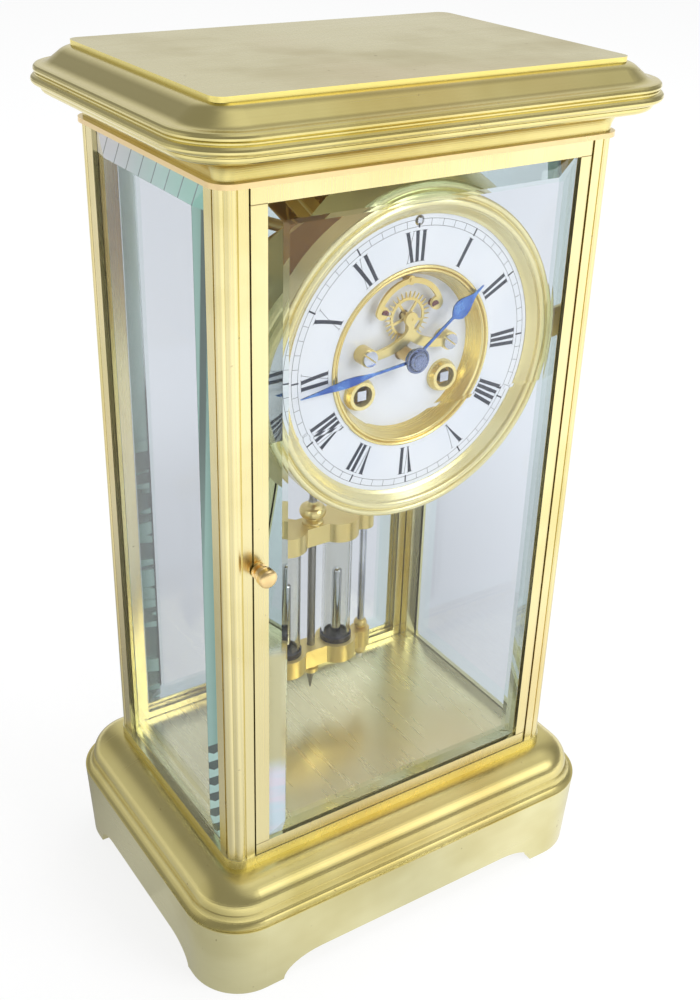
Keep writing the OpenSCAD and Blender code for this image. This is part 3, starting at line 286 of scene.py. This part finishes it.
def brass(name, grain, gold, olive, rose, shine, grain_depth=0.05, patches=0.7, pits=0.5,
          edge_tone_and_highlight=None, seams=(), metal_share=1.0):
    """Brass with grain that runs as the stretches in grain say: sides first, then tops. The tone
    for upright outer edges is their own tone on most parts and a painted highlight on the top slab,
    and seams are the heights of a door's butt joints."""
    material, metal = new_finish(name)
    up = metal.parts(metal.node("NewGeometry", output="Normal"))[2]
    facing_up = abs(up).rises(0.6, 0.9)
    side_grain = metal.cloud(metal.stretched(grain[0]), 3, 0.6)
    top_grain = metal.cloud(metal.stretched(grain[1]), 3, 0.6)
    lines = side_grain + (top_grain - side_grain) * facing_up
    wide = metal.cloud(metal.stretched((16, 16, 20), (3, 1, 2)), 3, 0.6)
    wider = metal.cloud(metal.stretched((9, 7, 9), (7, 4, 1)), 2)
    tone = metal.blend(wide.rises(0.42, 0.72) * patches, gold, olive)
    tone = metal.blend(wider.rises(0.52, 0.76) * patches * 0.8, tone, rose)
    tone = metal.blend((lines - 0.5) * 0.25, tone, olive)
    across, inward, height = metal.parts(metal.place())
    # Upright outer edges take the edge tone given; on the top slab it is a painted highlight.
    if edge_tone_and_highlight:
        body_half_wide, body_half_deep = 79 * mm, 52 * mm
        outside = (abs(across) - body_half_wide).most(abs(inward) - body_half_deep)
        tone = metal.blend((1 - facing_up) * outside.rises(0, 0.6 * mm) * 0.85, tone, edge_tone_and_highlight)
    specks = metal.cloud(metal.stretched((420, 420, 420)), 1).rises(0.77, 0.84)
    spots = metal.cloud(metal.stretched((95, 95, 95), (2, 9, 4)), 2).rises(0.77, 0.82)
    pitted = specks.most(spots) * pits
    tone = metal.blend(pitted, tone, pit_brown)
    stile_inner, seam_half, seam_edge = 64 * mm, 0.08 * mm, 0.26 * mm
    for seam in seams:
        line = 1 - abs(height - seam).rises(seam_half, seam_edge)
        on_stile = abs(across).rises(stile_inner - 0.1 * mm, stile_inner + 0.1 * mm)
        tone = metal.blend(line * on_stile * 0.85, tone, pit_brown)
    relief = {"Strength": grain_depth, "Distance": 0.4 * mm, "Height": lines - pitted}
    metal.close(
        metal.surface(
            Base_Color=tone,
            Metallic=metal_share,
            Roughness=shine + lines * 0.12 + wide * 0.08 + pitted * 0.3,
            Coat_Weight=0.15,
            Coat_Roughness=0.06,
            Normal=metal.node("Bump", {}, relief),
        )
    )
    return material


def dress(material, *names):
    """The finish goes on the material slots of these pieces."""
    for name in names:
        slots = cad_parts[name].data.materials
        slots.clear()
        slots.append(material)


along_front = ((3, 60, 1100), (6, 1100, 6))
dress(
    brass("plinth_brass", along_front, srgb(234, 228, 178), srgb(212, 202, 142),
          srgb(226, 208, 154), 0.2),
    "plinth",
)

# The three mouldings, on the plinth, at the cornice and round the cap: drawn brass
# strip, mitred at the corners and soldered, then polished brighter than the flat sides.
dress(
    brass("moulding_brass", along_front, srgb(228, 215, 146), srgb(200, 184, 104),
          srgb(222, 194, 124), 0.15),
    "base_moulding", "cornice", "cap_moulding",
)

# The floor plate: rolled brass screwed down on the base. Its top, which shows through
# the panes, is smooth and dull, and its edge is polished.
plate_grain = ((300, 12, 300), (300, 12, 12))
dress(
    brass("floor_brass", plate_grain, srgb(242, 236, 190), srgb(222, 212, 152),
          srgb(234, 212, 158), 0.18, grain_depth=0.006, edge_tone_and_highlight=srgb(248, 234, 156),
          metal_share=0.85),
    "floor_plate",
)

# The four corner pillars: drawn bars with moulded faces, filed and polished lengthwise,
# and screwed between the floor plate and the top frame.
bar_grain = ((900, 900, 5), (5, 900, 900))
bar_tones = (srgb(238, 226, 172), srgb(220, 206, 138), srgb(232, 208, 146))
dress(brass("pillar_brass", bar_grain, *bar_tones, 0.16, pits=0.3), "corner_pillars")

# The two side panes: clear polished sheet, ground to a broad bevel all round and slid between the
# pillars. The bevels carry painted light: a sea-green tint and opaque patches painted with the
# light the sheet catches.
painted_bevel_green = srgb(178, 212, 204)


def clear_glass(glass, tint, index):
    """Clear glass with a very faint ripple."""
    ripple = glass.cloud(glass.stretched((14, 14, 14)), 1)
    return glass.surface(
        Base_Color=colour_of(tint),
        Roughness=0.0,
        IOR=index,
        Transmission_Weight=1.0,
        Specular_Tint=(0.3, 0.3, 0.3, 1),
        Normal=glass.node("Bump", {}, {"Strength": 0.004, "Distance": 1 * mm, "Height": ripple}),
    )


def close_glass(glass, shader):
    """The lamps' light goes straight through, so that the glass casts hardly a shadow."""
    through = glass.node("BsdfTransparent", {}, {"Color": (0.975, 0.98, 0.985, 1)})
    unseen = glass.ray("Is Shadow Ray").most(glass.ray("Is Diffuse Ray"))
    glass.close(glass.node("MixShader", {}, {0: unseen, 1: shader, 2: through}))


def bevelled_pane(name, tint, across, flat_face, paint_bevel_light, indices=(1.5, 1.5)):
    """A pane. across is the axis of its thickness and flat_face how square to it a face is that
    belongs to no bevel; the function given after flat_face paints light into the bevels: it gives
    the share and the colour of that painted light, and where the second index takes over."""
    material, glass = new_finish(name)
    facing = glass.parts(glass.node("NewGeometry", output="True Normal"))
    bevel = 1 - abs(facing[across]).rises(*flat_face)
    share, colour, second = paint_bevel_light(glass, bevel)
    # The bevels are tinted with a painted sea-green glow.
    sheet_tone = glass.blend(bevel * 0.4, tint, painted_bevel_green)
    clear = [clear_glass(glass, sheet_tone, index) for index in indices]
    sheet = glass.node("MixShader", {}, {0: second, 1: clear[0], 2: clear[1]})
    # The bevels carry opaque painted light in the colour given.
    painted_bevel_light = glass.surface(Base_Color=colour, Roughness=0.12, Coat_Weight=0.6)
    close_glass(glass, glass.node("MixShader", {}, {0: share, 1: sheet, 2: painted_bevel_light}))
    return material


def side_light(glass, bevel):
    """Painted light that the sheet catches: a row of blocks along the top bevel, and on the front
    bevel a pale strip with a darker slanting band, and steps at its foot."""
    deep, up = glass.parts(glass.place())[1:]
    row_foot, block_wide, block_lean, block_start = 318 * mm, 9.8 * mm, 0.35, 50.42
    top_row = up.rises(row_foot, row_foot + 0.6 * mm)
    block = (deep + (up - row_foot) * block_lean) * (1 / block_wide) + block_start
    block_line = abs(glass.calc("FRACT", block) - 0.5).rises(0.455, 0.475)
    row_tone = glass.blend(
        deep.rises(-40 * mm, 40 * mm), srgb(158, 220, 206), srgb(230, 233, 246)
    )
    row_tone = glass.blend(block_line * 0.85, row_tone, srgb(86, 100, 108))
    bevel_inner, bevel_wide = -33.5 * mm, 9 * mm
    outward = (deep - bevel_inner) * (-1 / bevel_wide)
    band_middle = 0.32 + (up - 250 * mm) * 6.4
    band = 1 - abs(outward - band_middle).rises(0.16, 0.26)
    strip_tone = glass.blend(outward.rises(0.0, 1.0), srgb(182, 228, 218), srgb(146, 196, 180))
    strip_tone = glass.blend(band * up.rises(150 * mm, 250 * mm), strip_tone, srgb(98, 122, 116))
    stair_top, step_high, step_lean = 102.7 * mm, 8.1 * mm, 0.9
    step = (stair_top - up - (deep - bevel_inner) * step_lean) * (1 / step_high)
    tread = (0.38 + outward * 0.5).least(0.64 - outward * 0.16)
    riser = (glass.calc("FRACT", step) - tread).rises(-0.02, 0.02)
    step_tone = glass.blend(1 - riser, srgb(196, 236, 228), srgb(66, 90, 82))
    stair = step.rises(0.0, 0.02)
    strip_tone = glass.blend(stair, strip_tone, step_tone)
    front = 1 - deep.rises(bevel_inner - 0.5 * mm, bevel_inner + 0.5 * mm)
    strip_share = (1 - top_row) * front * (0.78 + stair * 0.14)
    return bevel * (0.86 * top_row + strip_share), glass.blend(top_row, strip_tone, row_tone), 0.0


dress(
    bevelled_pane("side_plate_glass", srgb(226, 230, 235), 0, (0.988, 0.997), side_light),
    "side_glasses",
)

# The top frame on the pillars, and the two brackets that hold the dial between them:
# rolled brass, dull on top, polished to a coppery tone on the edges that show.
dress(
    brass("frame_brass", plate_grain, srgb(246, 224, 164), srgb(234, 204, 130),
          srgb(240, 206, 142), 0.2, grain_depth=0.006, edge_tone_and_highlight=srgb(246, 216, 160),
          metal_share=0.75),
    "top_frame", "dial_brackets",
)

# The top slab: a flat brass plate screwed on the cap from below, brushed from side to side, more
# stained than the rest, with a painted highlight along its edge.
dress(
    brass("slab_brass", ((5, 5, 900), (5, 1000, 5)), srgb(221, 212, 156),
          srgb(192, 178, 104), srgb(214, 194, 138), 0.18, patches=0.9,
          edge_tone_and_highlight=srgb(250, 232, 134)),
    "top_slab",
)

# The two door frames: the same bar as the pillars. The rails of a door run its full
# width over the ends of the stiles, soldered butt to butt with a fine dark seam.
dress(
    brass("door_brass", bar_grain, *bar_tones, 0.16, patches=0.5, pits=0.2,
          seams=(322.2 * mm, 62.9 * mm)),
    "front_door_frame", "rear_door_frame",
)


# The two door panes: clear polished sheet with a bevel all round, puttied in the rebate
# of the frames. The front one is a little uneven, so it bends the view in two strengths.
def door_light(glass, bevel):
    """Painted light in the bevels: on the front pane at the foot and the knee of the left bevel,
    and on the rear one a green glow with darker blocks at the edge on the left."""
    across, deep, up = glass.parts(glass.place())
    rear_door = deep.rises(-10 * mm, 10 * mm)
    left_bevel = 1 - across.rises(-57 * mm, -56.5 * mm)
    foot = 1 - up.rises(94 * mm, 104 * mm)
    knee = (1 - foot) * (1 - up.rises(150 * mm, 156 * mm))
    bands = glass.cloud(glass.stretched((30, 30, 160), (1, 4, 2)), 2)
    tone = glass.blend(bands.rises(0.35, 0.65), srgb(226, 222, 238), srgb(206, 226, 240))
    tone = glass.blend(knee, tone, srgb(214, 206, 160))
    green = glass.blend(
        across.rises(-65.5 * mm, -58.5 * mm), srgb(92, 150, 138), srgb(190, 232, 224)
    )
    blocks = glass.cloud(glass.stretched((20, 20, 150)), 1).rises(0.50, 0.53)
    low = 1 - up.rises(190 * mm, 200 * mm)
    green = glass.blend(blocks * low * 0.8, green, srgb(58, 84, 74))
    left_edge = 1 - across.rises(-59 * mm, -58 * mm)
    front_share = (1 - rear_door) * left_bevel * (foot * 0.85 + knee * 0.62)
    share = bevel * (front_share + rear_door * left_edge * 0.65)
    below_dial = (1 - up.rises(238.5 * mm, 239 * mm)) * (1 - rear_door)
    return share, glass.blend(rear_door, tone, green), below_dial


dress(
    bevelled_pane("door_plate_glass", srgb(240, 243, 247), 1, (0.990, 0.997), door_light,
                  (1.6, 1.44)),
    "front_door_glass", "rear_door_glass",
)

# The two knobs: turned from bar, polished and left with a redder lacquer. Each is one
# piece with its spindle, which passes the door frame to the catch.
dress(
    brass("knob_brass", ((900, 60, 900), (900, 60, 900)), srgb(246, 216, 156),
          srgb(236, 196, 124), srgb(242, 198, 140), 0.2, patches=0.4, pits=0.0),
    "front_knob", "rear_knob",
)

# The movement behind the dial: brass plates, wheels and barrels with a straight grain
# under a thin lacquer, pinned together by four pillars, and the bell behind them.
dress(
    brass("movement_brass", ((900, 30, 30), (30, 900, 30)), srgb(240, 208, 132),
          srgb(222, 184, 102), srgb(232, 190, 118), 0.24, patches=0.5, pits=0.2,
          metal_share=0.65),
    "front_plate", "back_plate", "plate_pillars", "going_barrel", "strike_barrel",
    "second_wheel", "centre_wheel", "third_wheel", "pin_wheel", "warning_wheel", "fly",
    "minute_wheel", "hour_wheel", "suspension_cock", "crutch", "hammer", "bell",
)


# The bright steel work: turned arbors and screws, the stand of the bell, the spring that
# carries the pendulum and its two side rods, all polished along their length.
def steel(name, light, dark, shine):
    material, metal = new_finish(name)
    grain = metal.cloud(metal.stretched((1300, 200, 1300)), 3)
    wide = metal.cloud(metal.stretched((60, 60, 60)), 2)
    metal.close(
        metal.surface(
            Base_Color=metal.blend(wide.rises(0.3, 0.8), light, dark),
            Metallic=1.0,
            Roughness=shine + grain * 0.15,
            Normal=metal.node(
                "Bump", {}, {"Strength": 0.04, "Distance": 0.3 * mm, "Height": grain}
            ),
        )
    )
    return material


dress(
    steel("bright_steel", srgb(216, 218, 222), srgb(178, 180, 186), 0.16),
    "cannon_pinion", "cock_screws", "going_arbor", "strike_arbor", "bell_stand", "rate_arbor",
    "suspension_spring", "side_rods",
)

# The dial: copper discs under fired white enamel, a ring for the hours and a sunk
# centre. The enamel is glossy and a little wavy, and has a faint cloud in it.
enamel_material, enamel = new_finish("fired_enamel")
enamel_cloud = enamel.cloud(enamel.stretched((30, 30, 30)), 2)
enamel_waves = enamel.cloud(enamel.stretched((70, 70, 70), (4, 2, 6)), 1)
enamel.close(
    enamel.surface(
        Base_Color=enamel.blend(
            enamel_cloud.rises(0.35, 0.8), srgb(248, 250, 253), srgb(238, 242, 248)
        ),
        Roughness=0.12 + enamel_cloud * 0.08,
        Coat_Weight=0.4,
        Coat_Roughness=0.05,
        Normal=enamel.node(
            "Bump", {}, {"Strength": 0.05, "Distance": 0.5 * mm, "Height": enamel_waves}
        ),
    )
)
dress(enamel_material, "chapter_ring", "sunk_centre")

# The hours and the minute track: black enamel painted on the white and fired, so it
# stands a few hundredths of a millimetre proud. Feet of the numerals face the centre.
print_material, ink = new_finish("fired_black")
ink_cloud = ink.cloud(ink.stretched((900, 900, 900)), 2)
ink.close(
    ink.surface(
        Base_Color=ink.blend(ink_cloud, srgb(26, 30, 42), srgb(52, 58, 74)),
        Roughness=0.25 + ink_cloud * 0.15,
    )
)
# Sizes on the dial are in millimetres, and its angles in degrees from the XII.
dial_height = 255.9 * mm
enamel_face = -44.2
numeral_foot, numeral_head = 35.8, 46.7
track_inner, track_outer = 48.1, 50.6
hairline, hour_bar, hour_bar_reach = 0.14, 0.6, 0.4
hair_proud, thin_proud, thick_proud, print_root = 0.026, 0.030, 0.034, -0.004
serif_overhang = 0.9
stroke_steps, arc_step = 4, 3


def on_dial(radius, angle, proud):
    turn = math.radians(angle)
    return (
        radius * math.sin(turn) * mm,
        (enamel_face - proud) * mm,
        dial_height + radius * math.cos(turn) * mm,
    )


def raised(mesh, outline, proud):
    """A flat raised patch from an outline of (radius, angle) points, clockwise."""
    top = [mesh.verts.new(on_dial(radius, angle, proud)) for radius, angle in outline]
    low = [mesh.verts.new(on_dial(radius, angle, print_root)) for radius, angle in outline]
    mesh.faces.new(top)
    mesh.faces.new(low[::-1])
    for n in range(len(outline)):
        after = (n + 1) % len(outline)
        mesh.faces.new((top[after], top[n], low[n], low[after]))


def half_angle(width, radius):
    return math.degrees(width / 2 / radius)


def stroke(mesh, inner, outer, width, proud):
    """A straight band from (radius, angle) inner to outer, cut on the two circles."""
    left, right = [], []
    for n in range(stroke_steps + 1):
        share = n / stroke_steps
        radius = inner[0] + (outer[0] - inner[0]) * share
        angle = inner[1] + (outer[1] - inner[1]) * share
        spread = half_angle(width[0] + (width[1] - width[0]) * share, radius)
        left.append((radius, angle - spread))
        right.append((radius, angle + spread))
    raised(mesh, left + right[::-1], proud)


def arc(mesh, radius, start, end):
    """A hairline along the circle of this radius."""
    steps = max(1, round(abs(end - start) / arc_step))
    angles = [start + (end - start) * n / steps for n in range(steps + 1)]
    raised(
        mesh,
        [(radius + hairline / 2, angle) for angle in angles]
        + [(radius - hairline / 2, angle) for angle in reversed(angles)],
        hair_proud,
    )


# A stroke's widths at its foot and at its head.
thick, thin, wedge = (1.35, 1.45), (0.16, 0.16), (0.3, 1.6)
# Each stroke by kind and by its angles from the hour, at the head and at the foot.
hours = {
    1: [(thick, -0.3, -0.3)],
    2: [(thick, -1.9, -1.8), (thick, 1.4, 1.5)],
    3: [(thick, -2.6, -2.5), (thick, 0.5, 0.6), (thick, 3.6, 3.7)],
    4: [(thick, -4.4, -4.3), (thick, -1.3, -1.2), (thick, 1.8, 1.9), (thick, 4.9, 5.0)],
    5: [(wedge, -2.9, 0.0), (thin, 2.6, 0.3)],
    6: [(wedge, -2.2, -0.9), (thin, 0.9, -0.6), (thick, 3.1, 3.3)],
    7: [(wedge, -3.9, -2.5), (thin, -0.9, -2.2), (thick, 1.4, 1.5), (thick, 4.4, 4.6)],
    8: [(wedge, -5.7, -4.4), (thin, -2.7, -4.1), (thick, -0.7, -0.6), (thick, 2.5, 2.6),
        (thick, 5.6, 5.7)],
    9: [(thick, -3.3, -3.1), (thick, -0.2, 2.3), (thin, 3.2, -0.9)],
    10: [(thick, -3.1, 1.4), (thin, 2.3, -2.3)],
    11: [(thick, -4.1, -2.2), (thin, -0.9, -5.2), (thick, 1.9, 2.0)],
    12: [(thick, -5.8, -3.8), (thin, -2.6, -6.9), (thick, -0.6, -0.5), (thick, 3.0, 3.1)],
}
numerals = bmesh.new()
for hour, strokes in hours.items():
    for widths, head, foot in strokes:
        ends = ((numeral_foot, hour * 30 + foot), (numeral_head, hour * 30 + head))
        stroke(numerals, *ends, widths, thin_proud if widths == thin else thick_proud)
        for (radius, angle), width in zip(ends, widths):
            reach = half_angle(width + serif_overhang, radius)
            arc(numerals, radius, angle - reach, angle + reach)
minute_track = bmesh.new()
for radius in (track_inner, track_outer):
    for hour_line in range(0, 360, 30):
        arc(minute_track, radius, hour_line, hour_line + 30)
for minute in range(60):
    bold = minute % 5 == 0
    bar, bar_reach = (hour_bar, hour_bar_reach) if bold else (hairline, 0)
    stroke(
        minute_track,
        (track_inner - bar_reach, minute * 6),
        (track_outer, minute * 6),
        (bar, bar),
        thick_proud if bold else thin_proud,
    )
for name, built in (("dial_numerals", numerals), ("dial_minute_track", minute_track)):
    mesh = bpy.data.meshes.new(name)
    bmesh.ops.recalc_face_normals(built, faces=built.faces)
    built.to_mesh(mesh)
    built.free()
    mesh.materials.append(print_material)
    piece = in_scene(name, mesh)
    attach(piece, "case")


# The bezel: spun from brass sheet in one with the pan behind the dial, fine gilt, with
# the tool's rings still faint in it.
def turned_gilt(name, gold, deep, shine, metal_share=0.95, thin_steel=False):
    """Gilt brass turned about a line through the dial, with rings from the tool.
    thin_steel leaves the thin length of the pendulum's rod as grey steel."""
    material, gilt = new_finish(name)
    across, inward, up = gilt.parts(gilt.place())
    above = up - dial_height
    radius = (across * across + above * above) ** 0.5
    ring_place = gilt.node("CombineXYZ", {}, {0: radius * 1500, 1: inward * 1500})
    rings = gilt.cloud(ring_place, 2)
    wide = gilt.cloud(gilt.stretched((24, 24, 24), (1, 5, 2)), 2)
    flank = 1 - abs(gilt.parts(gilt.node("NewGeometry", output="Normal"))[1]).rises(0.15, 0.45)
    tone = gilt.blend(wide.rises(0.4, 0.7) * 0.6 + rings * 0.2, gold, deep)
    if thin_steel:
        rod_inward, steel_radius = 21 * mm, 1.85 * mm
        from_rod = inward - rod_inward
        from_middle = (across * across + from_rod * from_rod) ** 0.5
        steel_share = 1 - from_middle.rises(steel_radius, steel_radius + 0.15 * mm)
        tone = gilt.blend(steel_share, tone, srgb(150, 147, 138))
    gilt.close(
        gilt.surface(
            Base_Color=tone,
            Metallic=metal_share - flank * 0.35,
            Roughness=shine + rings * 0.12,
            Normal=gilt.node(
                "Bump", {}, {"Strength": 0.05, "Distance": 0.4 * mm, "Height": rings}
            ),
        )
    )
    return material


dress(turned_gilt("bezel_gilt", srgb(246, 236, 182), srgb(232, 214, 144), 0.18, 0.75), "bezel")

# The gilt ring round the sunk centre and the two collets of the winding holes: turned
# brass, gilt a little deeper than the bezel, and pressed into the dial.
dress(
    turned_gilt("ring_gilt", srgb(244, 228, 160), srgb(230, 200, 116), 0.2, 0.85),
    "gilt_ring", "winding_collets",
)

# The visible escapement and the mounts of the pendulum: the cock, the wheel and the
# anchor, the two yokes and the nuts, sawn or turned from brass and matt gilt.
gilt_gold, gilt_deep = srgb(238, 218, 146), srgb(222, 190, 104)
dress(
    turned_gilt("matt_gilt", gilt_gold, gilt_deep, 0.26, 0.85),
    "escape_cock", "escape_wheel", "anchor", "pendulum_yokes", "ball_nuts", "rating_nut",
)

# The pallet stones: two slips of dark red ruby, ground and polished, and set with
# shellac in the arms of the anchor.
ruby_material, ruby = new_finish("ruby")
ruby_cloud = ruby.cloud(ruby.stretched((900, 900, 900)), 2)
ruby.close(
    ruby.surface(
        Base_Color=ruby.blend(ruby_cloud, srgb(120, 34, 30), srgb(66, 16, 18)),
        Roughness=0.1 + ruby_cloud * 0.05,
        Coat_Weight=0.5,
    )
)
dress(ruby_material, "pallet_jewels")

# The hands: steel, filed to a ridge, polished and heated until they turn blue. The
# blue is never even: violet where the heat came first, paler towards the points.
blue_material, blued = new_finish("heat_blue")
blue_cloud = blued.cloud(blued.stretched((160, 160, 160)), 2)
blued.close(
    blued.surface(
        Base_Color=blued.blend(blue_cloud.rises(0.35, 0.7), srgb(42, 84, 166), srgb(98, 142, 206)),
        Metallic=0.9,
        Roughness=0.2 + blue_cloud * 0.12,
        Coat_Weight=0.3,
        Coat_Roughness=0.1,
    )
)
dress(blue_material, "hour_hand", "minute_hand")

# The collet of the hands: turned steel with a recess and a slotted screw, heated past
# blue to a dark blue grey.
dress(steel("blue_black_steel", srgb(146, 156, 184), srgb(88, 98, 128), 0.2), "hand_collet")

# The pendulum rod: grey steel wire through both yokes, with a gilt finial on the upper
# one and a pointer below the lower one.
dress(turned_gilt("rod_gilt", gilt_gold, gilt_deep, 0.24, thin_steel=True), "pendulum_rod")

# The two jars of the pendulum: thin blown glass tubes, closed below, held between the
# yokes by their dark steel cups.
jar_material, jar = new_finish("jar_glass")
close_glass(jar, clear_glass(jar, srgb(238, 238, 233), 1.5))
dress(jar_material, "jars")
dress(steel("dark_steel", srgb(96, 94, 98), srgb(62, 60, 64), 0.25), "jar_cups")

# The mercury in the two jars: bright liquid metal that rises in the heat as the rod
# grows longer, with a faint skin on it.
mercury_material, mercury = new_finish("mercury")
skin = mercury.cloud(mercury.stretched((120, 120, 40)), 2)
mercury.close(
    mercury.surface(
        Base_Color=mercury.blend(skin, srgb(226, 228, 232), srgb(206, 208, 214)),
        Metallic=1.0,
        Roughness=0.04 + skin * 0.06,
    )
)
dress(mercury_material, "mercury_columns")
